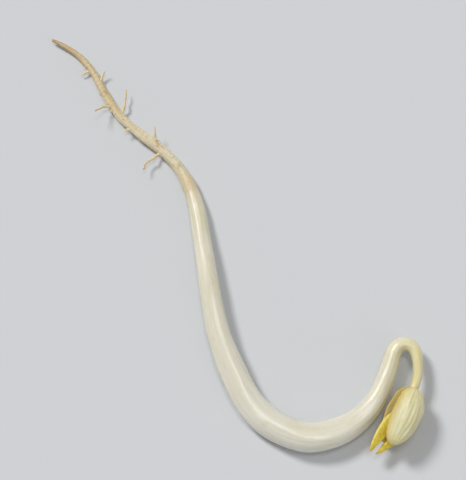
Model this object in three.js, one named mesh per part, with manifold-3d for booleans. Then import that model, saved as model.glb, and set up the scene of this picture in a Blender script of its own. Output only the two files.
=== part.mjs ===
// A mung bean sprout, washed and lying on its side on a flat surface.
//
// One plump white axis runs from the root tip through the stem, round the hook at the stem's upper end,
// and ends in the short bare shoot above the seed leaves. It grew as one piece, so it is one solid, and
// its few short side roots are fused to it. Four separate leaves sit on it: two fleshy seed leaves, one
// above the other, and between them the first pair of true leaves, still folded shut.
//
// Millimetres, +Z up. The sprout lies on z = 0, and its origin is under the middle of its box.
import * as THREE from 'three';
import { mergeVertices } from 'three/addons/utils/BufferGeometryUtils.js';
import Module from 'manifold-3d';

// ---- Driving dimensions -------------------------------------------------------------------------

const ROOT_LENGTH = 26; // root tip to the collar, where the root turns into stem
const STEM_LENGTH = 60.8; // collar to the joint that carries the seed leaves
const SHOOT_LENGTH = 1.8; // bare shoot above that joint
const COLLAR = ROOT_LENGTH;
const JOINT = ROOT_LENGTH + STEM_LENGTH;
const AXIS_LENGTH = JOINT + SHOOT_LENGTH;

const STEM_RADIUS = 1.76; // at the bottom of the U, its thickest place
const NECK_RADIUS = 0.6; // between the hook and the joint
const JOINT_RADIUS = 0.55;
const SHOOT_RADIUS = 0.4;
const SEED_LEAF = { length: 7.3, width: 3.6, thickness: 1.8, behindJoint: 1.0 };
const TRUE_LEAF = { length: 6.1, width: 1.5, thickness: 0.66 };
const CLEARANCE = 0.14; // between a leaf and what carries it

// Where the axis turns, seen from above. It sets off from the root tip along START_HEADING (degrees
// from +X towards +Y). Each bend turns it by `turn` degrees, centred `at` mm from the tip, `over` mm long.
const START_HEADING = -25;
const BENDS = [
  { at: 4.5, over: 9, turn: -38 }, // the wavy root
  { at: 14, over: 11, turn: 30 },
  { at: 24, over: 15, turn: -48 },
  { at: 44, over: 5, turn: 11.7 },
  { at: 63, over: 30.5, turn: 142.8 }, // the U
  { at: JOINT - 7.1, over: 4.8, turn: -155 }, // the hook
  { at: JOINT - 2.8, over: 5, turn: -35 }, // the neck
];

// Radius of the axis, as [distance from the root tip, radius].
const GIRTH = [
  [0, 0.26],
  [5, 0.4],
  [15, 0.55],
  [COLLAR - 3, 0.72],
  [COLLAR + 6, 1.12],
  [COLLAR + 15, 1.28],
  [COLLAR + 26, 1.64],
  [COLLAR + 36, STEM_RADIUS],
  [JOINT - 13, 1.17],
  [JOINT - 7, 0.86],
  [JOINT - 3.4, NECK_RADIUS],
  [JOINT, JOINT_RADIUS],
  [JOINT + 0.8, SHOOT_RADIUS],
  [AXIS_LENGTH, 0.9 * SHOOT_RADIUS],
];

// Height of the axis's underside above the surface, as [distance from the root tip, height]. It touches
// near the root tip, at the collar and along the bottom of the U.
const HEAD_HEIGHT = 2.62; // the joint's middle above the surface
const HEAD_ROLL = 20; // degrees by which the seed leaves lean over, away from the stem
const UNDERSIDE = [
  [0, 0.5],
  [5, 0],
  [9, 0],
  [16, 0.35],
  [COLLAR - 2, 0],
  [COLLAR + 2, 0],
  [COLLAR + 14, 0.7],
  [COLLAR + 31, 0],
  [COLLAR + 39, 0],
  [JOINT - 9, 1],
  [JOINT - 3.4, HEAD_HEIGHT - NECK_RADIUS],
  [JOINT, HEAD_HEIGHT - JOINT_RADIUS],
  [AXIS_LENGTH, HEAD_HEIGHT - SHOOT_RADIUS],
];
const PRESSED = 0.05; // how far the soft flesh is pressed flat where it touches

const SIDE_ROOTS = { count: 7, first: 6.5, spacing: 2.4, shortest: 0.9, longest: 3.2, radius: 0.22, sunk: 0.3 };

// ---- The axis's centre line ---------------------------------------------------------------------

const clamp01 = (t) => Math.min(1, Math.max(0, t));
const radians = THREE.MathUtils.degToRad;

/**
 * The value at s of a list of [s, value]: a cubic between entries, level at the first and last entry and
 * at every peak and dip, and elsewhere with the harmonic mean of the slopes on the two sides of an entry.
 */
function between(list, s) {
  const last = list.length - 1;
  const slope = (i) => (list[i + 1][1] - list[i][1]) / (list[i + 1][0] - list[i][0]);
  const slopeAt = (i) => {
    if (i === 0 || i === last || slope(i - 1) * slope(i) <= 0) return 0;
    return (2 * slope(i - 1) * slope(i)) / (slope(i - 1) + slope(i));
  };
  const i = Math.max(0, Math.min(last, list.findIndex(([at], k) => k === last || at > s)) - 1);
  const [s0, v0] = list[i];
  const [s1, v1] = list[i + 1];
  const t = clamp01((s - s0) / (s1 - s0));
  const start = v0 * (1 + 2 * t) + (s1 - s0) * slopeAt(i) * t;
  const end = v1 * (3 - 2 * t) - (s1 - s0) * slopeAt(i + 1) * (1 - t);
  return start * (1 - t) ** 2 + end * t * t;
}

/** Direction of the axis at s, seen from above, in radians. */
function heading(s) {
  let degrees = START_HEADING;
  for (const { at, over, turn } of BENDS) {
    const t = clamp01((s - at) / over + 0.5);
    degrees += turn * t * t * (3 - 2 * t);
  }
  return radians(degrees);
}

const WALK_STEP = 0.05;
const walk = [new THREE.Vector2(0, 0)];
for (let s = WALK_STEP / 2; s < AXIS_LENGTH + 2 * WALK_STEP; s += WALK_STEP) {
  const last = walk[walk.length - 1];
  const stride = new THREE.Vector2(Math.cos(heading(s)), Math.sin(heading(s)));
  walk.push(last.clone().addScaledVector(stride, WALK_STEP));
}

/** Point on the centre line at distance s from the root tip. */
function centre(s) {
  const steps = THREE.MathUtils.clamp(s, 0, AXIS_LENGTH) / WALK_STEP;
  const before = Math.floor(steps);
  const flat = walk[before].clone().lerp(walk[before + 1], steps - before);
  return new THREE.Vector3(flat.x, flat.y, between(UNDERSIDE, s) + between(GIRTH, s) - PRESSED);
}

/** Frame that moves along the axis: x to its right, y onwards along it, z up. */
function axisFrame(s) {
  const reach = 0.1;
  const onwards = centre(s + reach).sub(centre(s - reach)).normalize();
  const right = new THREE.Vector3(Math.sin(heading(s)), -Math.cos(heading(s)), 0);
  right.addScaledVector(onwards, -right.dot(onwards)).normalize();
  const up = new THREE.Vector3().crossVectors(right, onwards);
  return new THREE.Matrix4().makeBasis(right, onwards, up).setPosition(centre(s));
}

// ---- Shaping helpers ----------------------------------------------------------------------------

/** Closed skin about the y axis: a ring of radius 1 at each inner place, a point at both end places. */
function skin(places, sides) {
  const last = places.length - 1;
  const profile = places.map((y, i) => new THREE.Vector2(i === 0 || i === last ? 0 : 1, y));
  return new THREE.LatheGeometry(profile, sides, Math.PI / sides);
}

/** Places from 0 to 1, closer together towards both ends, for a form with rounded ends. */
function roundedPlaces(count) {
  return Array.from({ length: count + 1 }, (_, i) => (1 - Math.cos((Math.PI * i) / count)) / 2);
}

/** Moves every vertex of a geometry by move(vertex), in place. */
function reshape(geometry, move) {
  const position = geometry.getAttribute('position');
  const v = new THREE.Vector3();
  for (let i = 0; i < position.count; i++) {
    move(v.fromBufferAttribute(position, i));
    position.setXYZ(i, v.x, v.y, v.z);
  }
  return geometry;
}

/** The same surface with only its positions left and shared vertices merged. */
function bare(geometry) {
  geometry.deleteAttribute('normal');
  geometry.deleteAttribute('uv');
  return mergeVertices(geometry, 1e-4);
}

const wasm = await Module();
wasm.setup();

function toSolid(geometry) {
  const { attributes, index } = bare(geometry);
  const mesh = { numProp: 3, vertProperties: attributes.position.array, triVerts: new Uint32Array(index.array) };
  return new wasm.Manifold(new wasm.Mesh(mesh));
}

function toGeometry(solid) {
  const mesh = solid.getMesh();
  const geometry = new THREE.BufferGeometry();
  geometry.setAttribute('position', new THREE.BufferAttribute(new Float32Array(mesh.vertProperties), 3));
  geometry.setIndex(new THREE.BufferAttribute(new Uint32Array(mesh.triVerts), 1));
  return geometry;
}

// ---- Root, stem and shoot -----------------------------------------------------------------------

/** Distances from the root tip of the axis's rings, closer together at its ends and round the hook. */
function axisPlaces() {
  const places = [0, 0.06, 0.2];
  const step = (s) => (s > JOINT - 10.5 ? 0.4 : s < COLLAR ? 0.75 : 1.1);
  for (let s = 0.45; s < AXIS_LENGTH - 0.3; s += step(s)) places.push(s);
  return [...places, AXIS_LENGTH - 0.18, AXIS_LENGTH - 0.04, AXIS_LENGTH];
}

/** The straight spindle of root, stem and shoot, bent along its centre line. */
function axisGeometry() {
  const endRounding = 0.3;
  return reshape(skin(axisPlaces(), 16), (v) => {
    const s = v.y;
    const fromEnd = clamp01(Math.min(s, AXIS_LENGTH - s) / endRounding);
    const radius = between(GIRTH, s) * Math.sqrt(1 - (1 - fromEnd) ** 2);
    v.set(v.x * radius, 0, v.z * radius).applyMatrix4(axisFrame(s));
  });
}

/**
 * One short side root: a tapering spike that starts inside the main root, leans towards its tip, never
 * points down, and curls a little. Even numbers grow on the right and odd ones on the left.
 */
function sideRoot(index) {
  const { first, spacing, shortest, longest, radius, sunk } = SIDE_ROOTS;
  const at = first + spacing * (index + 0.3 * Math.sin(4.1 * index));
  const side = index % 2 === 0 ? 1 : -1;
  const rise = radians(10 + 16 * (index % 3));
  const reach = shortest + (longest - shortest) * Math.sin(2.3 * index + 0.4) ** 2;
  const out = new THREE.Vector3(side * Math.cos(rise), -0.3 - 0.2 * (index % 2), Math.sin(rise)).normalize();
  const turn = new THREE.Quaternion().setFromUnitVectors(new THREE.Vector3(0, 1, 0), out);
  const places = [-sunk, 0, 0.3 * reach, 0.6 * reach, 0.85 * reach, reach];
  return reshape(skin(places, 6), (v) => {
    const taper = radius * (1 - 0.55 * clamp01(v.y / reach));
    const lengthwise = v.y + between(GIRTH, at) - 0.1;
    const curl = 0.08 * Math.max(0, v.y) ** 2 * Math.cos(3 * index);
    v.set(v.x * taper, 0, v.z * taper).applyQuaternion(turn).addScaledVector(out, lengthwise);
    v.y += curl;
    v.applyMatrix4(axisFrame(at));
  });
}

function rootAndStem() {
  let solid = toSolid(axisGeometry());
  for (let i = 0; i < SIDE_ROOTS.count; i++) solid = solid.add(toSolid(sideRoot(i)));
  return toGeometry(solid);
}

// ---- Leaves, in the frame of the joint: x to the right, y onwards along the axis, z up -------------

/**
 * A fleshy seed leaf: domed outside, a little hollow inside, oblong and slightly kidney-shaped, with the
 * hollow edge towards the stem. facing is 1 for the upper one and -1 for the lower; opening is the angle
 * in degrees by which its far end stands off the other one.
 */
function seedLeaf(facing, opening) {
  const { length, width, thickness, behindJoint } = SEED_LEAF;
  const offset = -0.15; // the pair sits a little to the side of the joint that is away from the stem
  const bow = 0.3;
  const hollow = 0.15;
  const rim = JOINT_RADIUS + CLEARANCE;
  const tip = radians(opening);
  return reshape(skin(roundedPlaces(20), 28), (v) => {
    const along = 2 * v.y - 1;
    const outline = Math.sqrt(1 - Math.abs(along) ** 2.3) * (1 - 0.08 * along);
    const outwards = v.z * facing;
    const depth = outwards > 0 ? thickness * outwards : -hollow * outwards;
    const x = offset + (v.x * width * outline) / 2 + bow * (along * along - 0.4);
    const y = v.y * length - behindJoint;
    const z = rim + depth * outline ** 0.8;
    v.set(x, y * Math.cos(tip) - z * Math.sin(tip), facing * (z * Math.cos(tip) + y * Math.sin(tip)));
  });
}

/**
 * A true leaf folded shut along its midrib: a pointed blade that lies on its side, its midrib outwards.
 * side is 1 for the leaf on the right of the shoot and -1 for the one on its left. Both bend to the right.
 */
function trueLeaf(side) {
  const { length, width, thickness } = TRUE_LEAF;
  const foot = SHOOT_LENGTH + CLEARANCE;
  const spread = 0.25; // half the distance between the two tips
  const bend = 1.1;
  return reshape(skin(roundedPlaces(16), 14), (v) => {
    const t = v.y;
    const outline = Math.sin(Math.PI * t ** 0.75) ** 0.7;
    const across = CLEARANCE / 2 + ((1 + side * v.x) * width * outline) / 2 + spread * t * t;
    const depth = (v.z * thickness * outline ** 0.5) / 2;
    v.set(side * across + bend * t * t, foot + t * length, depth + 0.08 * side * Math.sin(Math.PI * t));
  });
}

// ---- Assembly -----------------------------------------------------------------------------------

const stemFlesh = new THREE.MeshStandardMaterial({ color: 0xe9e4d4, roughness: 0.35, metalness: 0 });
const seedLeafFlesh = new THREE.MeshStandardMaterial({ color: 0xe2d592, roughness: 0.5, metalness: 0 });
const trueLeafBlade = new THREE.MeshStandardMaterial({ color: 0xcdb437, roughness: 0.55, metalness: 0 });

function node(name, geometry, material) {
  const mesh = new THREE.Mesh(bare(geometry), material);
  mesh.name = name;
  return mesh;
}

/** Geometry that is placed by a group, with what would reach below the surface pressed flat on it. */
function pressedFlat(geometry, group) {
  group.updateWorldMatrix(true, false);
  return reshape(geometry, (v) => {
    group.localToWorld(v);
    v.z = Math.max(v.z, 0);
    group.worldToLocal(v);
  });
}

const sprout = new THREE.Group();
const head = new THREE.Group();
sprout.add(head);
axisFrame(JOINT).decompose(head.position, head.quaternion, head.scale);
head.rotateY(-radians(HEAD_ROLL));
sprout.add(node('root_and_stem', pressedFlat(rootAndStem(), sprout), stemFlesh));
head.add(
  node('cotyledon_upper', seedLeaf(1, 5), seedLeafFlesh),
  node('cotyledon_lower', pressedFlat(seedLeaf(-1, 1), head), seedLeafFlesh),
  node('first_leaf_right', trueLeaf(1), trueLeafBlade),
  node('first_leaf_left', trueLeaf(-1), trueLeafBlade),
);

const middle = new THREE.Box3().setFromObject(sprout, true).getCenter(new THREE.Vector3());
sprout.position.set(-middle.x, -middle.y, 0);

export default sprout;
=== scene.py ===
import bpy
import numpy as np
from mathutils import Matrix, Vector


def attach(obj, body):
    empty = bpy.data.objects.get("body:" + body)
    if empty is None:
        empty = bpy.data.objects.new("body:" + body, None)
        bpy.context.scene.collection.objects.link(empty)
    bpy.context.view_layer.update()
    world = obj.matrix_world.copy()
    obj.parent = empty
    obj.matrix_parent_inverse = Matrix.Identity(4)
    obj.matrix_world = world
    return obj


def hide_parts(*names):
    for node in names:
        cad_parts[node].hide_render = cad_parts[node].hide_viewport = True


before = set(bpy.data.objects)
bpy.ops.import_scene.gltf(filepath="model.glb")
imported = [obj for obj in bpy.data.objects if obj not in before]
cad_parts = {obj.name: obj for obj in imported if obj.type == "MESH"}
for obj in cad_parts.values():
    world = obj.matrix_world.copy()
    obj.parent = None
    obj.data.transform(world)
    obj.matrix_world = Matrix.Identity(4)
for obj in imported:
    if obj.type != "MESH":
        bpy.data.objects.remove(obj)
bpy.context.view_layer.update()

# ---- Root, stem and shoot -----------------------------------------------------------------------
# The living axis grew as one piece: a thin creamy root with wrinkled skin, where side roots are about to
# break out, a plump glassy white stem full of water, the hook that a seedling raised in the dark keeps at
# the stem's upper end, and a short bare shoot.

MM = 0.001
ROOT_LENGTH = 26.0
STEM_LENGTH = 60.8
SHOOT_LENGTH = 1.8
COLLAR = ROOT_LENGTH
JOINT = ROOT_LENGTH + STEM_LENGTH
HOOK = JOINT - 7.1
NECK = JOINT - 3.4
AXIS_LENGTH = JOINT + SHOOT_LENGTH
STEM_RADIUS = 1.76
NECK_RADIUS = 0.6
JOINT_RADIUS = 0.55
SHOOT_RADIUS = 0.4
HEAD_HEIGHT = 2.62
PRESSED = 0.05
ROOT_TIP = (-22.612, 25.791)
START_HEADING = -25.0
SIDE_ROOT_PLACES = [6.5 + 2.4 * (i + 0.3 * np.sin(4.1 * i)) for i in range(7)]
SIDE_ROOT_SIDES = [1, -1, 1, -1, 1, -1, 1]
# Each bend: where its middle is, how long it is, and how many degrees it turns.
BENDS = np.array([
    (4.5, 9, -38),
    (14, 11, 30),
    (24, 15, -48),
    (44, 5, 11.7),
    (63, 30.5, 142.8),
    (HOOK, 4.8, -155),
    (JOINT - 2.8, 5, -35),
])
# Radius, and height of the underside, at distances from the root tip.
GIRTH = [
    (0, 0.26), (5, 0.4), (15, 0.55), (COLLAR - 3, 0.72), (COLLAR + 6, 1.12), (COLLAR + 15, 1.28),
    (COLLAR + 26, 1.64), (COLLAR + 36, STEM_RADIUS), (JOINT - 13, 1.17), (JOINT - 7, 0.86),
    (NECK, NECK_RADIUS), (JOINT, JOINT_RADIUS), (JOINT + 0.8, SHOOT_RADIUS),
    (AXIS_LENGTH, 0.9 * SHOOT_RADIUS),
]
UNDERSIDE = [
    (0, 0.5), (5, 0), (9, 0), (16, 0.35), (COLLAR - 2, 0), (COLLAR + 2, 0), (COLLAR + 14, 0.7),
    (COLLAR + 31, 0), (COLLAR + 39, 0), (JOINT - 9, 1), (NECK, HEAD_HEIGHT - NECK_RADIUS),
    (JOINT, HEAD_HEIGHT - JOINT_RADIUS), (AXIS_LENGTH, HEAD_HEIGHT - SHOOT_RADIUS),
]


def blended(table, s):
    """Cubic through (place, value) entries: level at both ends and at every peak and dip, and elsewhere
    with the harmonic mean of the slopes on the two sides of an entry."""
    places, values = np.array(table, float).T
    rise = np.diff(values) / np.diff(places)
    same_way = rise[:-1] * rise[1:] > 0
    total = np.where(same_way, rise[:-1] + rise[1:], 1)
    slope = np.concatenate([[0], np.where(same_way, 2 * rise[:-1] * rise[1:] / total, 0), [0]])
    i = np.clip(np.searchsorted(places, s, side="right") - 1, 0, len(places) - 2)
    width = places[i + 1] - places[i]
    t = np.clip((s - places[i]) / width, 0, 1)
    start = values[i] * (1 + 2 * t) + width * slope[i] * t
    end = values[i + 1] * (3 - 2 * t) - width * slope[i + 1] * (1 - t)
    return start * (1 - t) ** 2 + end * t * t


def heading(s):
    """Direction of the axis seen from above, in radians: the first heading plus each bend's turn, eased
    in over the bend's length by 3t^2 - 2t^3."""
    at, over, turn = BENDS.T
    t = np.clip((np.asarray(s)[..., None] - at) / over + 0.5, 0, 1)
    return np.radians(START_HEADING + (turn * t * t * (3 - 2 * t)).sum(-1))


def walked(step=0.05):
    """The centre line seen from above: the sum of short strides, each along its own middle's heading."""
    middles = np.arange(step / 2, AXIS_LENGTH + 2 * step, step)
    strides = step * np.stack([np.cos(heading(middles)), np.sin(heading(middles))], -1)
    return step * np.arange(len(middles) + 1), np.cumsum(np.vstack([[ROOT_TIP], strides]), axis=0)


WALK_PLACES, WALK = walked()


def centre(s):
    """Points on the centre line at distances s from the root tip: the walk seen from above, and the
    underside's height plus the radius, less what is pressed flat."""
    inside = np.clip(s, 0, AXIS_LENGTH)
    x, y = (np.interp(inside, WALK_PLACES, WALK[:, k]) for k in (0, 1))
    return np.stack([x, y, blended(UNDERSIDE, s) + blended(GIRTH, s) - PRESSED], -1)


def unit(v):
    """Vectors of length 1 along v."""
    return v / np.linalg.norm(v, axis=-1, keepdims=True)


def axis_frame(s, reach=0.1):
    """Where the axis is at s, its right side, its way onwards and its upper side, as unit vectors."""
    onwards = unit(centre(s + reach) - centre(s - reach))
    level = np.stack([np.sin(heading(s)), -np.cos(heading(s)), 0 * heading(s)], -1)
    right = unit(level - (level * onwards).sum(-1, keepdims=True) * onwards)
    return centre(s), right, onwards, np.cross(right, onwards)


def ripple(seed, *coordinates, waves=12):
    """Smooth random bumpiness about 0, with a mean square of 1: the sum of sine waves in random
    directions, each about one unit long."""
    draws = np.random.default_rng(seed)
    total = 0
    for _ in range(waves):
        direction = draws.normal(size=len(coordinates))
        direction *= draws.uniform(0.7, 1.4) / np.linalg.norm(direction)
        along = sum(d * c for d, c in zip(direction, coordinates))
        total = total + np.sin(2 * np.pi * along + draws.uniform(0, 2 * np.pi))
    return total / np.sqrt(waves / 2)


def hump(x, middle, width):
    """A bell: exp(-((x - middle) / width)^2)."""
    return np.exp(-(((x - middle) / width) ** 2))


def eased(x, start, end):
    """0 before start, 1 after end, and 3t^2 - 2t^3 between them."""
    t = np.clip((x - start) / (end - start), 0, 1)
    return t * t * (3 - 2 * t)


def raised(grid, height):
    """Moves every point of a grid of rings along its outward normal, which is the cross product of the
    way to the next ring and the way round the ring."""
    onwards = np.gradient(grid, axis=0)
    around = np.roll(grid, -1, axis=1) - np.roll(grid, 1, axis=1)
    return grid + height[..., None] * unit(np.cross(onwards, around))


def tube(path, radius, sides, upwards):
    """A round tube along a path: each ring is the path's point plus the radius times (cos a, sin a) in
    the plane across the path. upwards is any direction that the path never takes."""
    onwards = unit(np.gradient(path, axis=0))
    right = unit(np.cross(onwards, upwards))
    up = np.cross(right, onwards)
    a = np.linspace(0, 2 * np.pi, sides, endpoint=False)[None, :, None]
    return path[:, None] + radius[:, None, None] * (np.cos(a) * right[:, None] + np.sin(a) * up[:, None])


def ring_quads(rings, sides):
    """Faces between each ring of a grid and the next, as rows of four point numbers."""
    i, j = np.meshgrid(np.arange(rings - 1), np.arange(sides), indexing="ij")
    k = (j + 1) % sides
    corners = [i * sides + j, (i + 1) * sides + j, (i + 1) * sides + k, i * sides + k]
    return np.stack(corners, -1).reshape(-1, 4)


def closed_piece(name, shells):
    """One mesh from closed shells. A shell is a grid of rings in mm and the pattern's coordinates at the
    same points. Each end is closed by a fan round the middle of the end ring."""
    points, pattern, faces = [], [], []
    first = 0
    for grid, flat in shells:
        rings, sides = grid.shape[:2]
        faces += (first + ring_quads(rings, sides)).tolist()
        j = np.arange(sides)
        k = (j + 1) % sides
        start, end = rings * sides, rings * sides + 1
        faces += (first + np.stack([0 * j + start, j, k], -1)).tolist()
        faces += (first + np.stack([start - sides + j, 0 * j + end, start - sides + k], -1)).tolist()
        for kept, values in ((points, grid), (pattern, flat)):
            kept += [values.reshape(-1, 3), values[:1].mean(1), values[-1:].mean(1)]
        first += rings * sides + 2
    mesh = bpy.data.meshes.new(name)
    mesh.from_pydata((np.concatenate(points) * MM).tolist(), [], faces)
    attribute = mesh.attributes.new("pattern", "FLOAT_VECTOR", "POINT")
    attribute.data.foreach_set("vector", np.concatenate(pattern).astype(np.float32).ravel())
    mesh.shade_smooth()
    piece = bpy.data.objects.new(name, mesh)
    bpy.context.scene.collection.objects.link(piece)
    return piece


def on_the_floor(grid):
    """What would reach below the surface is pressed flat on it."""
    return np.concatenate([grid[..., :2], np.maximum(grid[..., 2:], 0)], -1)


def nubs(s, a, girth):
    """Small mounds where side roots are about to break out, and a wider one round the foot of each side
    root that has: height exp(-(distance / width)^2) on the skin, with a slight dimple round it."""
    draws = np.random.default_rng(5)
    foot_height, foot_width, nub_width, nub_spacing = 0.1, 0.3, 0.13, 1.25
    spots = [
        (at, 0 if side > 0 else np.pi, foot_height, foot_width)
        for at, side in zip(SIDE_ROOT_PLACES, SIDE_ROOT_SIDES)
    ]
    for at in np.arange(4.6, COLLAR - 0.5, nub_spacing):
        place, angle = at + draws.uniform(-0.5, 0.5), draws.uniform(0, 2 * np.pi)
        spots.append((place, angle, draws.uniform(0.06, 0.2), nub_width))
    total = 0
    for at, angle, height, width in spots:
        round_it = girth * ((a - angle + np.pi) % (2 * np.pi) - np.pi)
        distance = np.hypot(s - at, round_it) / width
        total = total + height * (np.exp(-distance ** 2) - 0.25 * np.exp(-((distance - 1.8) / 0.6) ** 2))
    return total


def axis_skin(sides=64):
    """The axis's skin: centre + radius (cos a right + sin a up). The radius is the girth, rounded at both
    ends, and the relief is added along the normal: slow lumps, lengthwise ribs, ring wrinkles on the root
    and at the collar, and creases on the inner side of the hook."""
    cap = 0.3
    root_step, stem_step, hook_step = 0.08, 0.13, 0.05
    rounding = cap * (1 - np.cos(np.linspace(0, np.pi / 2, 9)[1:]))
    places = np.concatenate([
        rounding,
        np.arange(cap + root_step, COLLAR + 2, root_step),
        np.arange(COLLAR + 2, JOINT - 12, stem_step),
        np.arange(JOINT - 12, AXIS_LENGTH - cap, hook_step),
        AXIS_LENGTH - rounding[::-1],
    ])
    s = places[:, None]
    a = np.linspace(0, 2 * np.pi, sides, endpoint=False)[None, :]
    from_end = np.clip(np.minimum(s, AXIS_LENGTH - s) / cap, 0, 1)
    roundness = np.sqrt(1 - (1 - from_end) ** 2)
    girth = blended(GIRTH, s) * (0.62 + 0.38 * eased(s, 0, 2.2))
    radius = girth * roundness
    middle, right, _, up = (v[:, None] for v in axis_frame(places))
    grid = middle + (radius * np.cos(a))[..., None] * right + (radius * np.sin(a))[..., None] * up

    x, z = girth * np.cos(a), girth * np.sin(a)
    root = 1 - eased(s, COLLAR - 4, COLLAR + 3)
    lumps = 0.024 * girth * ripple(11, x / 4, s / 8, z / 4)
    lumps = lumps + 0.012 * girth * ripple(12, x / 2, s / 3, z / 2)
    oval = 0.02 * girth * np.cos(2 * a - 0.11 * s)
    broad_ribs = 0.015 * ripple(13, x / 0.9, s / 18, z / 0.9)
    fine_ribs = 0.007 * ripple(14, x / 0.45, s / 9, z / 0.45)
    ribs = (broad_ribs + fine_ribs) * (1 - root)
    rings = root * (0.010 * ripple(15, x / 2, s / 0.5, z / 2) + 0.014 * ripple(16, x, s / 1.3, z))
    furrows = root * 0.012 * ripple(17, x / 0.45, s / 3, z / 0.45)
    collar = 0.05 * hump(s, COLLAR - 0.4, 0.7) - 0.03 * hump(s, COLLAR + 0.9, 0.35)
    inner = np.clip(np.cos(a), 0, 1) ** 1.5
    bent = hump(s, HOOK, 1.9)
    folds = (0.5 + 0.5 * np.cos(2 * np.pi * s / 0.62 + 1.3 * ripple(18, s / 2, z))) ** 4
    creases = -0.05 * inner * bent * folds
    knuckle = 0.06 * hump(s, JOINT - 0.1, 0.7)
    relief = lumps + oval + ribs + rings + furrows + collar + creases + knuckle + nubs(s, a, girth)
    flat = np.stack(np.broadcast_arrays(x, s, z), -1)
    return on_the_floor(raised(grid, relief * roundness)), flat


class Wire:
    """An output of a material's node. Arithmetic on it adds Math nodes, and node() adds any other node:
    its settings first, then the values or links of its sockets."""

    def __init__(self, tree, socket=None):
        self.tree, self.socket = tree, socket

    def node(self, kind, settings, sockets, output=0):
        made = self.tree.nodes.new("ShaderNode" + kind)
        for name, value in settings.items():
            if name == "stops":
                elements = made.color_ramp.elements
                for place, colour in value[2:]:
                    elements.new(place)
                for element, (place, colour) in zip(elements, value):
                    element.position, element.color = place, colour
            else:
                setattr(made, name, value)
        for name, value in sockets.items():
            if isinstance(value, Wire):
                self.tree.links.new(value.socket, made.inputs[name])
            else:
                made.inputs[name].default_value = value
        return Wire(self.tree, made.outputs[output] if made.outputs else None)

    def math(self, operation, *values):
        return self.node("Math", {"operation": operation}, dict(enumerate(values)))

    def __add__(self, other):
        return self.math("ADD", self, other)

    def __sub__(self, other):
        return self.math("SUBTRACT", self, other)

    def __rsub__(self, other):
        return self.math("SUBTRACT", other, self)

    def __mul__(self, other):
        return self.math("MULTIPLY", self, other)

    __radd__, __rmul__ = __add__, __mul__

    def cosine(self):
        return self.math("COSINE", self)

    def between(self, low, high):
        """0 at low, 1 at high, eased between them and clamped outside."""
        settings = {"interpolation_type": "SMOOTHSTEP"}
        return self.node("MapRange", settings, {"Value": self, "From Min": low, "From Max": high})

    def ramp(self, *stops):
        """The colour at this place from 0 to 1, from (place, colour) stops."""
        return self.node("ValToRGB", {"stops": [(p, tint(c)) for p, c in stops]}, {0: self})

    def blend(self, below, above):
        """The colour below where this is 0, and above where it is 1."""
        sides = [c if isinstance(c, Wire) else tint(c) for c in (below, above)]
        return self.node("Mix", {"data_type": "RGBA"}, {0: self, 6: sides[0], 7: sides[1]}, output=2)

    def stretched(self, x, y, z):
        return self.node("VectorMath", {"operation": "MULTIPLY"}, {0: self, 1: (x, y, z)})

    def noise(self, scale, detail, rough):
        """Cloudy noise from 0 to 1 of these coordinates."""
        sockets = {"Vector": self, "Scale": scale, "Detail": detail, "Roughness": rough}
        return self.node("TexNoise", {}, sockets)


def tint(colour):
    """A colour written as #rrggbb, as the linear red, green, blue and 1 that a node takes."""
    parts = np.array([int(colour[i:i + 2], 16) for i in (1, 3, 5)]) / 255
    linear = np.where(parts > 0.04045, ((parts + 0.055) / 1.055) ** 2.4, parts / 12.92)
    return (*linear.tolist(), 1.0)


def new_finish(name):
    """A new material, and the coordinates that its pieces carry."""
    material = bpy.data.materials.new(name)
    material.use_nodes = True
    material.node_tree.nodes.clear()
    wires = Wire(material.node_tree)
    pattern = wires.node("Attribute", {"attribute_name": "pattern"}, {}, output="Vector")
    return material, pattern


def flesh(material, colour, roughness, coat, bump, depth, radius, scale, weight):
    """Moist plant flesh: light enters, scatters through the watery cells and comes out nearby. The depth
    of the bump and the scale of the scattering are in mm."""
    wires = Wire(material.node_tree)
    normal = wires.node("Bump", {}, {"Strength": 1.0, "Distance": depth * MM, "Height": bump})
    shader = wires.node("BsdfPrincipled", {"subsurface_method": "RANDOM_WALK"}, {
        "Base Color": colour, "Roughness": roughness, "Coat Weight": coat, "Coat Roughness": 0.25,
        "Subsurface Weight": weight, "Subsurface Radius": radius, "Subsurface Scale": scale * MM,
        "IOR": 1.38, "Normal": normal,
    })
    wires.node("OutputMaterial", {}, {"Surface": shader})


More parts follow.
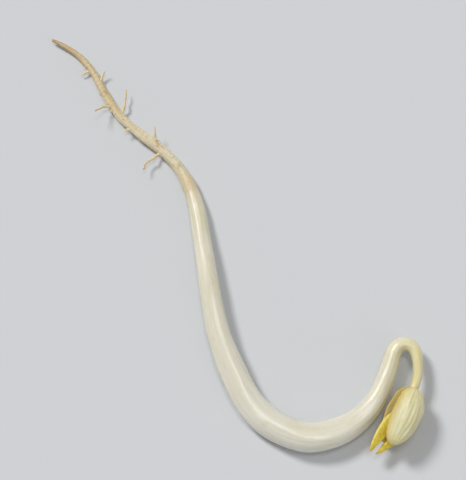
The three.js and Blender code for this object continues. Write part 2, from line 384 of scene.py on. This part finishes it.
def stem_finish():
    """Ivory flesh with fine lengthwise strands, cream to tan towards the root tip and a greener cream at
    the neck; the root is duller and speckled, and the stem is glossy with moisture."""
    material, pattern = new_finish("moist_stem_flesh")
    s = pattern.node("SeparateXYZ", {}, {"Vector": pattern}, output="Y")
    along = s * (1 / AXIS_LENGTH)
    base = along.ramp(
        (0.0, "#a77e46"), (0.02, "#bf9f69"), (0.09, "#ceb888"), (0.22, "#d8c89f"), (0.29, "#dacfad"),
        (0.36, "#ddd7c0"), (0.7, "#e2dfd1"), (0.84, "#dcd6c0"), (0.92, "#ded5a0"), (0.985, "#d8c980"),
    )
    strands = pattern.stretched(1.6, 0.05, 1.6).noise(1.4, 3, 0.55)
    fine_strands = pattern.stretched(7, 0.14, 7).noise(1.0, 2, 0.6)
    clouds = pattern.stretched(0.35, 0.16, 0.35).noise(1.0, 3, 0.5)
    root = 1 - s.between(COLLAR - 6, COLLAR + 5)
    shaded = (strands.between(0.36, 0.66) * 0.5).blend(base, "#eeece0")
    shaded = (fine_strands.between(0.48, 0.74) * 0.24).blend(shaded, "#c4bda0")
    shaded = (clouds.between(0.5, 0.76) * 0.3).blend(shaded, "#d0c599")
    wavering = s + clouds * 1.6
    past_collar = wavering.between(COLLAR + 0.6, COLLAR + 2.6)
    collar = wavering.between(COLLAR - 1.6, COLLAR + 0.3) * (1 - past_collar)
    shaded = (collar * 0.3).blend(shaded, "#cfae72")
    stain = pattern.stretched(0.8, 0.5, 0.8).noise(1.0, 4, 0.62).between(0.6, 0.74)
    shaded = (stain * (0.12 + 0.5 * root)).blend(shaded, "#b48a4e")
    specks = pattern.stretched(3.2, 2.2, 3.2).noise(1.0, 2, 0.5).between(0.7, 0.76)
    shaded = (specks * (0.16 + 0.5 * root)).blend(shaded, "#8a5f30")
    cells = pattern.stretched(9, 1.6, 9).noise(1.0, 2, 0.55)
    wrinkles = pattern.stretched(1.2, 5.5, 1.2).noise(1.0, 3, 0.6)
    roughness = 0.14 + 0.26 * root + 0.2 * clouds
    coat = 0.22 - 0.16 * root
    height = cells * 0.5 + fine_strands * 0.6 + wrinkles * root * 1.6
    flesh(material, shaded, roughness, coat, height, 0.04, (1.0, 0.86, 0.66), 0.5, 0.7)
    return material


sprout_axis = closed_piece("sprout_axis", [axis_skin()])
sprout_axis.data.materials.append(stem_finish())
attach(sprout_axis, "root")
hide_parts("root_and_stem")

# ---- Side roots ---------------------------------------------------------------------------------
# Seven short side roots on alternate sides of the main root. Each broke out through its skin, which stands
# up round the foot, and tapers to a blunt tan tip. They lean towards the root tip and waver as they dry.

SIDE_ROOT_RADIUS = 0.17
SIDE_ROOT_SHORTEST, SIDE_ROOT_LONGEST = 0.9, 3.2


def side_root(at, side, rise, lean, reach, curl, seed):
    """A side root: a tapering tube that starts inside the main root with a flared foot, leans towards the
    root tip, curls by a square law and wavers a little."""
    sunk, foot, step, sides = 0.3, 0.1, 0.07, 14
    shaft = np.linspace(-foot, reach - foot, int(reach / step))
    y = np.concatenate([[-sunk], shaft, reach - np.array([0.06, 0.025, 0.005])])
    out = unit(np.array([side * np.cos(rise), lean, np.sin(rise)]))
    lengthwise = y + blended(GIRTH, at) - foot
    local = lengthwise[:, None] * out
    free = np.maximum(0, y)
    local[:, 1] += curl * free ** 2
    waver = np.stack([ripple(seed + k, y / 1.7) for k in range(3)], -1)
    local += 0.065 * np.minimum(free, 1)[:, None] * waver
    middle, right, onwards, up = axis_frame(np.array(at))
    path = middle + local @ np.stack([right, onwards, up])
    from_tip = np.clip((reach - y) / 0.1, 0, 1)
    taper = SIDE_ROOT_RADIUS * (1 - 0.62 * np.clip(y / reach, 0, 1)) * (1 + 0.5 * np.exp(-free / 0.14))
    thickness = taper * np.sqrt(1 - (1 - from_tip) ** 2) * (1 + 0.06 * ripple(seed + 5, y / 0.4))
    grid = tube(path, np.maximum(thickness, 0.004), sides, up)
    flat = np.broadcast_to(np.stack([0 * y, free, 0 * y + seed], -1)[:, None], grid.shape)
    return on_the_floor(grid), flat


def own_place(wires):
    """Object coordinates, in mm."""
    return wires.node("TexCoord", {}, {}, output="Object").stretched(1 / MM, 1 / MM, 1 / MM)


def side_root_finish():
    """Creamy at the foot and tan at the tip, dull, with ring wrinkles."""
    material, pattern = new_finish("side_root_flesh")
    length = pattern.node("SeparateXYZ", {}, {"Vector": pattern}, output="Y")
    along = length * (1 / SIDE_ROOT_LONGEST)
    base = along.ramp((0.0, "#e8dab2"), (0.3, "#e3d0a0"), (0.7, "#d6b980"), (1.0, "#b98d50"))
    own = own_place(pattern)
    clouds = own.noise(2.2, 3, 0.6)
    shaded = (clouds.between(0.5, 0.72) * 0.5).blend(base, "#b58c54")
    wrinkles = pattern.stretched(1, 6, 1).noise(1.0, 3, 0.6)
    roughness, coat = 0.42 + 0.1 * clouds, 0.08 + 0.1 * clouds
    flesh(material, shaded, roughness, coat, wrinkles, 0.03, (1.0, 0.8, 0.5), 0.12, 0.5)
    return material


side_roots = closed_piece("side_roots", [
    side_root(
        at, side, rise=np.radians(10 + 16 * (i % 3)), lean=-0.3 - 0.2 * (i % 2),
        reach=SIDE_ROOT_SHORTEST + (SIDE_ROOT_LONGEST - SIDE_ROOT_SHORTEST) * np.sin(2.3 * i + 0.4) ** 2,
        curl=0.11 * np.cos(3 * i), seed=30 + 10 * i,
    )
    for i, (at, side) in enumerate(zip(SIDE_ROOT_PLACES, SIDE_ROOT_SIDES))
])
side_roots.data.materials.append(side_root_finish())
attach(side_roots, "root")

# ---- Leaf stalks --------------------------------------------------------------------------------
# Two stubby stalks on the joint carry the seed leaves, and two finer ones at the shoot's end carry the
# first leaves. They are the same living tissue as the stem and grow into the leaves at their far ends.

HEAD_ROLL = -20


def head_point(x, y, z):
    """Points of the head's own frame, x to the joint's right, y onwards and z up, which is rolled about
    the axis so that its upper leaf leans away from the stem."""
    roll = np.radians(HEAD_ROLL)
    middle, right, onwards, up = axis_frame(np.array(JOINT))
    across, upward = x * np.cos(roll) + z * np.sin(roll), z * np.cos(roll) - x * np.sin(roll)
    return middle + across[..., None] * right + y[..., None] * onwards + upward[..., None] * up


def stalk(start, end, radius, waist, seed):
    """A short stalk between two points of the head's frame: a tube with a waist, its ends inside what it
    joins."""
    rings, sides = 14, 20
    t = np.linspace(0, 1, rings)
    local = (1 - t)[:, None] * np.array(start) + t[:, None] * np.array(end)
    thickness = radius * (1 - waist * np.sin(np.pi * t)) * (1 + 0.04 * ripple(seed, t / 0.4))
    path = head_point(*local.T)
    upwards = unit(np.array([0.3, 0.2, 0.0]) + np.cross(path[-1] - path[0], [0, 0, 1]))
    grid = tube(path, thickness, sides, upwards)
    flat = np.broadcast_to(np.stack([0 * t, t, 0 * t + seed], -1)[:, None], grid.shape)
    return grid, flat


leaf_stalks = closed_piece("leaf_stalks", [
    stalk((0, -0.05, 0.2), (-0.05, 0.35, 0.95), 0.36, 0.12, 401),
    stalk((0, -0.05, -0.2), (-0.05, 0.35, -0.95), 0.36, 0.12, 402),
    stalk((0.12, 1.5, 0), (0.42, 2.7, 0.02), 0.2, 0.2, 403),
    stalk((-0.12, 1.5, 0), (-0.3, 2.7, -0.02), 0.2, 0.2, 404),
])


def stalk_finish():
    """Pale yellow green, a little yellower towards the leaf, with faint lighter clouds."""
    material, pattern = new_finish("leaf_stalk_flesh")
    place = pattern.node("SeparateXYZ", {}, {"Vector": pattern}, output="Y")
    base = place.blend("#dccf8a", "#dcc862")
    own = own_place(pattern)
    clouds = own.noise(3, 3, 0.6)
    shaded = (clouds.between(0.45, 0.7) * 0.4).blend(base, "#efe6b0")
    roughness, coat = 0.36 + 0.1 * clouds, 0.1 + 0.1 * clouds
    flesh(material, shaded, roughness, coat, clouds, 0.02, (1.0, 0.8, 0.4), 0.12, 0.5)
    return material


leaf_stalks.data.materials.append(stalk_finish())
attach(leaf_stalks, "root")

# ---- Seed leaves --------------------------------------------------------------------------------
# The bean's two halves, fleshy and waxy, which fed the sprout. Each is domed outside and a little hollow
# inside, with a thickened rim, and its drying skin has begun to wrinkle lengthwise. Their colour carries
# painted light toward the crest of each dome and painted shade, darker and deeper yellow, toward the rim.

SEED_LEAF_LENGTH, SEED_LEAF_WIDTH, SEED_LEAF_THICKNESS = 7.3, 3.6, 1.8
BEHIND_JOINT = 1.0
CLEARANCE = 0.14


def seed_leaf_skin(facing, opening, seed, rings=170, sides=150):
    """A half bean: across = offset + width cos a outline / 2 + bow along^2, depth = thickness sin a
    outline^0.8 outside and a shallow hollow inside, tilted about the joint by the opening angle. The
    outline is the square root of 1 - |along|^2.3. Dimples, lengthwise wrinkles and a rim are added along
    the normal."""
    t = (1 - np.cos(np.pi * np.arange(1, rings) / rings))[:, None] / 2
    a = np.linspace(0, 2 * np.pi, sides, endpoint=False)[None, :]
    along = 2 * t - 1
    outline = np.sqrt(1 - np.abs(along) ** 2.3) * (1 - 0.08 * along)
    outwards = np.sin(a) * facing
    fullness = np.sign(outwards) * np.abs(outwards) ** 0.92
    hollow = 0.15 + 0.1 * hump(along, 0, 0.6)
    lip = 0.1 * 4 * np.abs(outwards) * (1 - np.abs(outwards))
    depth = np.where(outwards > 0, SEED_LEAF_THICKNESS * fullness, hollow * -outwards - lip)
    wavy = 1 + 0.012 * ripple(seed, t / 0.35, np.cos(a) / 2)
    x = -0.15 + np.cos(a) * SEED_LEAF_WIDTH * outline * wavy / 2 + 0.3 * (along ** 2 - 0.4)
    y = t * SEED_LEAF_LENGTH - BEHIND_JOINT + 0 * a
    z = 0.55 + CLEARANCE + depth * outline ** 0.8
    tip = np.radians(opening)
    turned_y, turned_z = y * np.cos(tip) - z * np.sin(tip), z * np.cos(tip) + y * np.sin(tip)
    local = np.stack([x, turned_y, facing * turned_z], -1)

    outside = np.clip(outwards, 0, 1) ** 0.5
    wrinkles = 0.026 * ripple(seed + 1, np.cos(a) * 1.8 / 0.62, y / 6, waves=9)
    dimples = 0.026 * ripple(seed + 2, x / 2.2, y / 3.2, z / 2.2)
    pits = -0.006 * np.maximum(0, ripple(seed + 3, x / 0.5, y / 0.6, z / 0.5)) ** 2
    rim = 0.05 * hump(outwards, 0.02, 0.16)
    mid_length = eased(t, 0.05, 0.3) * (1 - eased(t, 0.6, 0.95))
    groove = -0.05 * hump(np.cos(a) + 0.25 * along, 0.1, 0.1) * outside * mid_length
    grain = 0.006 * ripple(seed + 4, x / 0.6, y / 1.2)
    relief = (wrinkles + dimples + pits + groove) * outside + rim + grain
    relief = relief * np.minimum(1, outline / 0.35)
    flat = np.stack(np.broadcast_arrays(np.cos(a), y, outwards), -1)
    grid = raised(local, np.broadcast_to(relief, x.shape))
    return on_the_floor(head_point(*np.moveaxis(grid, -1, 0))), flat


def seed_leaf_finish():
    """Pale yellow flesh, deeper at the foot, with faint veins under a waxy skin and a few tan flecks, and
    painted light and shade: lighter toward the crest of each dome, darker and deeper yellow toward the rim."""
    material, pattern = new_finish("waxy_seed_leaf_flesh")
    parts = {k: pattern.node("SeparateXYZ", {}, {"Vector": pattern}, output=k) for k in "XYZ"}
    outwards = parts["Z"]
    own = own_place(pattern)
    # Painted light and shade: lighter toward each dome's crest, darker and deeper yellow toward the rim.
    painted_crest_light = outwards.between(0.05, 0.75)
    base = painted_crest_light.blend("#cfb663", "#ded8af")
    foot = 1 - parts["Y"].between(-1.0, 0.9)
    base = (foot * 0.4).blend(base, "#d9ca78")
    tip = parts["Y"].between(4.6, 6.4)
    base = (tip * 0.3).blend(base, "#e2cd68")
    veins = pattern.stretched(3.4, 0.16, 0.6).noise(1.0, 3, 0.55)
    shaded = (veins.between(0.5, 0.72) * 0.4).blend(base, "#efe7b8")
    clouds = own.noise(0.9, 4, 0.6)
    shaded = (clouds.between(0.45, 0.75) * 0.3).blend(shaded, "#ccb974")
    flecks = own.noise(4.5, 2, 0.5).between(0.69, 0.76)
    shaded = (flecks * 0.4).blend(shaded, "#a47c34")
    inside = 1 - outwards.between(-0.35, -0.02)
    shaded = (inside * 0.5).blend(shaded, "#e0d5a4")
    skin = own.noise(9, 3, 0.6)
    roughness = 0.38 + 0.16 * clouds
    height = skin * 0.8 + veins
    flesh(material, shaded, roughness, 0.14 + 0.12 * clouds, height, 0.035, (1.0, 0.82, 0.5), 0.5, 0.6)
    return material


seed_leaf_flesh = seed_leaf_finish()
for name, node, facing, opening, seed in (
    ("seed_leaf_above", "cotyledon_upper", 1, 5, 501),
    ("seed_leaf_below", "cotyledon_lower", -1, 1, 551),
):
    leaf = closed_piece(name, [seed_leaf_skin(facing, opening, seed)])
    leaf.data.materials.append(seed_leaf_flesh)
    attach(leaf, "root")
    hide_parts(node)

# ---- First true leaves --------------------------------------------------------------------------
# Two thin yellow leaves, each still folded shut along its midrib as it lay in the seed, with the midrib
# outwards and the two edges of the blade together on the inner side. Raised side veins cross the blade.

TRUE_LEAF_LENGTH, TRUE_LEAF_WIDTH, TRUE_LEAF_THICKNESS = 6.1, 1.5, 0.66
VEIN_SPACING, VEIN_SLANT = 0.72, 1.1


def folded_leaf_skin(side, seed, rings=130, sides=108):
    """A folded blade. Its section is a thin sheet round a U: the sheet's middle goes from one edge, w = -1,
    round the midrib, w = 0, to the other edge, w = 1, at across = 1 - |w| and height = tanh(5w), and the
    skin is half the sheet's thickness off it on both sides. The section's width and thickness follow the
    blade's outline, the sine of pi t^0.75 to the power 0.7."""
    t = (1 - np.cos(np.pi * np.arange(1, rings) / rings))[:, None] / 2
    a = np.linspace(0, 2 * np.pi, sides, endpoint=False)[None, :]
    outline = np.sin(np.pi * t ** 0.75) ** 0.7
    width, thick = TRUE_LEAF_WIDTH * outline, TRUE_LEAF_THICKNESS * outline ** 0.5
    w = -np.cos(a)
    from_midrib = np.sqrt(w ** 2 + 0.05 ** 2) - 0.05
    middle_x, middle_z = width * (0.93 - 0.9 * from_midrib), 0.3 * thick * np.tanh(5 * w)
    slope_x, slope_z = width * -0.9 * w / (from_midrib + 0.05), 0.3 * thick * 5 / np.cosh(5 * w) ** 2
    size = np.hypot(slope_x, slope_z)
    off = np.sign(np.sin(a)) * np.abs(np.sin(a)) ** 0.4
    drift = 0.12 * ripple(seed + 1, t / 0.3, w / 2)
    phase = (t * TRUE_LEAF_LENGTH - VEIN_SLANT * from_midrib + drift) / VEIN_SPACING
    veins = 0.018 * np.cos(2 * np.pi * phase) * hump(from_midrib, 0.45, 0.35)
    crumple = 0.022 * ripple(seed + 2, t / 0.2, w / 0.9) * eased(from_midrib, 0, 0.3)
    ruffle = 0.05 * ripple(seed, t / 0.16, w) * eased(from_midrib, 0.6, 1)
    midrib = 0.035 * hump(w, 0, 0.1) * (off > 0)
    shift = (0.17 * thick) * off + (veins + crumple + ruffle * 0.6 + midrib) * outline
    across = CLEARANCE / 2 + middle_x + shift * slope_z / size + 0.25 * t * t
    height = middle_z - shift * slope_x / size
    x = side * across + 1.1 * t * t
    y = SHOOT_LENGTH + CLEARANCE + t * TRUE_LEAF_LENGTH + 0 * a
    z = height + 0.08 * side * np.sin(np.pi * t)
    grid = head_point(x, y, z)
    flat = np.stack(np.broadcast_arrays(from_midrib, t * TRUE_LEAF_LENGTH + drift, off), -1)
    return (grid, flat) if side > 0 else (grid[:, ::-1], flat[:, ::-1])


def first_leaf_finish():
    """Vivid yellow blade with lighter veins, greener in random patches, brownish at the very tip."""
    material, pattern = new_finish("folded_leaf_blade")
    parts = {k: pattern.node("SeparateXYZ", {}, {"Vector": pattern}, output=k) for k in "XY"}
    from_midrib, along = parts["X"], parts["Y"]
    base = from_midrib.ramp((0.0, "#eedc7c"), (0.12, "#dcc544"), (0.6, "#d8bd30"), (1.0, "#e4cc54"))
    base = (along.between(5.2, 6.1) * 0.4).blend(base, "#9c7a26")
    turns = 2 * np.pi / VEIN_SPACING
    wave = (along * turns - from_midrib * (VEIN_SLANT * turns)).cosine()
    shaded = (wave.between(0.6, 1.0) * 0.34).blend(base, "#f0e38c")
    own = own_place(pattern)
    clouds = own.noise(1.6, 3, 0.6)
    shaded = (clouds.between(0.42, 0.7) * 0.45).blend(shaded, "#b3a436")
    net = own.noise(8, 3, 0.6)
    roughness, coat = 0.45 + 0.15 * clouds, 0.05 + 0.1 * clouds
    flesh(material, shaded, roughness, coat, net, 0.03, (1.0, 0.9, 0.4), 0.2, 0.4)
    return material


first_leaf_blade = first_leaf_finish()
for name, node, side, seed in (
    ("folded_leaf_right", "first_leaf_right", 1, 601),
    ("folded_leaf_left", "first_leaf_left", -1, 651),
):
    leaf = closed_piece(name, [folded_leaf_skin(side, seed)])
    leaf.data.materials.append(first_leaf_blade)
    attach(leaf, "root")
    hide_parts(node)

# ---- Floor, light and camera --------------------------------------------------------------------
# A plain pale surface that rises gently all round, far from the sprout, so that it is the background from
# every side. Soft studio light, and a camera almost straight above with a long lens.


def floor_surface(flat_to=0.3, out_to=0.9, rise=0.3, drop=0.02 * MM, rings=48, sides=96):
    """A shallow bowl about the z axis, in metres: level out to one radius, then rising by the square of
    the distance beyond it."""
    r = np.linspace(0.01, out_to, rings)[:, None]
    a = np.linspace(0, 2 * np.pi, sides, endpoint=False)[None, :]
    z = rise * (np.maximum(0, r - flat_to) / (out_to - flat_to)) ** 2 - drop
    return np.stack(np.broadcast_arrays(r * np.cos(a), r * np.sin(a), z), -1)


bowl = floor_surface()
bowl_rings, bowl_sides = bowl.shape[:2]
bowl_faces = ring_quads(bowl_rings, bowl_sides).tolist() + [list(range(bowl_sides))]
floor_mesh = bpy.data.meshes.new("floor")
floor_mesh.from_pydata(bowl.reshape(-1, 3).tolist(), [], bowl_faces)
floor_mesh.shade_smooth()
floor = bpy.data.objects.new("floor", floor_mesh)
bpy.context.scene.collection.objects.link(floor)
floor_material = bpy.data.materials.new("pale_floor")
floor_material.use_nodes = True
floor_shader = floor_material.node_tree.nodes["Principled BSDF"]
floor_shader.inputs["Base Color"].default_value = tint("#d2d4d7")
floor_shader.inputs["Roughness"].default_value = 0.9
floor_mesh.materials.append(floor_material)


def soft_light(name, place, spread, power):
    """A distant soft lamp that shines from a place towards the origin and looks spread degrees wide."""
    lamp = bpy.data.lights.new(name, "SUN")
    lamp.angle, lamp.energy = np.radians(spread), power
    holder = bpy.data.objects.new(name, lamp)
    holder.rotation_mode = "QUATERNION"
    holder.rotation_quaternion = (-Vector(place)).to_track_quat("-Z", "Y")
    bpy.context.scene.collection.objects.link(holder)


soft_light("key", (-0.5, 0.5, 0.8), 14, 1.85)
soft_light("top", (0.05, 0.14, 0.95), 14, 0.55)
soft_light("fill", (0.6, -0.4, 0.5), 40, 0.25)

world = bpy.data.worlds.new("studio")
world.use_nodes = True
world.node_tree.nodes["Background"].inputs["Color"].default_value = (1, 1, 1, 1)
world.node_tree.nodes["Background"].inputs["Strength"].default_value = 0.27
bpy.context.scene.world = world
bpy.context.scene.view_settings.view_transform = "Standard"

elevation, distance = np.radians(78), 218
target = np.array([0.0, 0.0, 2.0])
eye = target + distance * np.array([0, -np.cos(elevation), np.sin(elevation)])
lens = bpy.data.cameras.new("camera")
lens.lens, lens.sensor_fit, lens.sensor_height, lens.sensor_width = 135, "VERTICAL", 36, 36
lens.clip_start, lens.clip_end = 0.01, 10
camera = bpy.data.objects.new("camera", lens)
camera.location = eye * MM
camera.rotation_mode = "QUATERNION"
camera.rotation_quaternion = Vector(target - eye).to_track_quat("-Z", "Y")
bpy.context.scene.collection.objects.link(camera)
bpy.context.scene.camera = camera
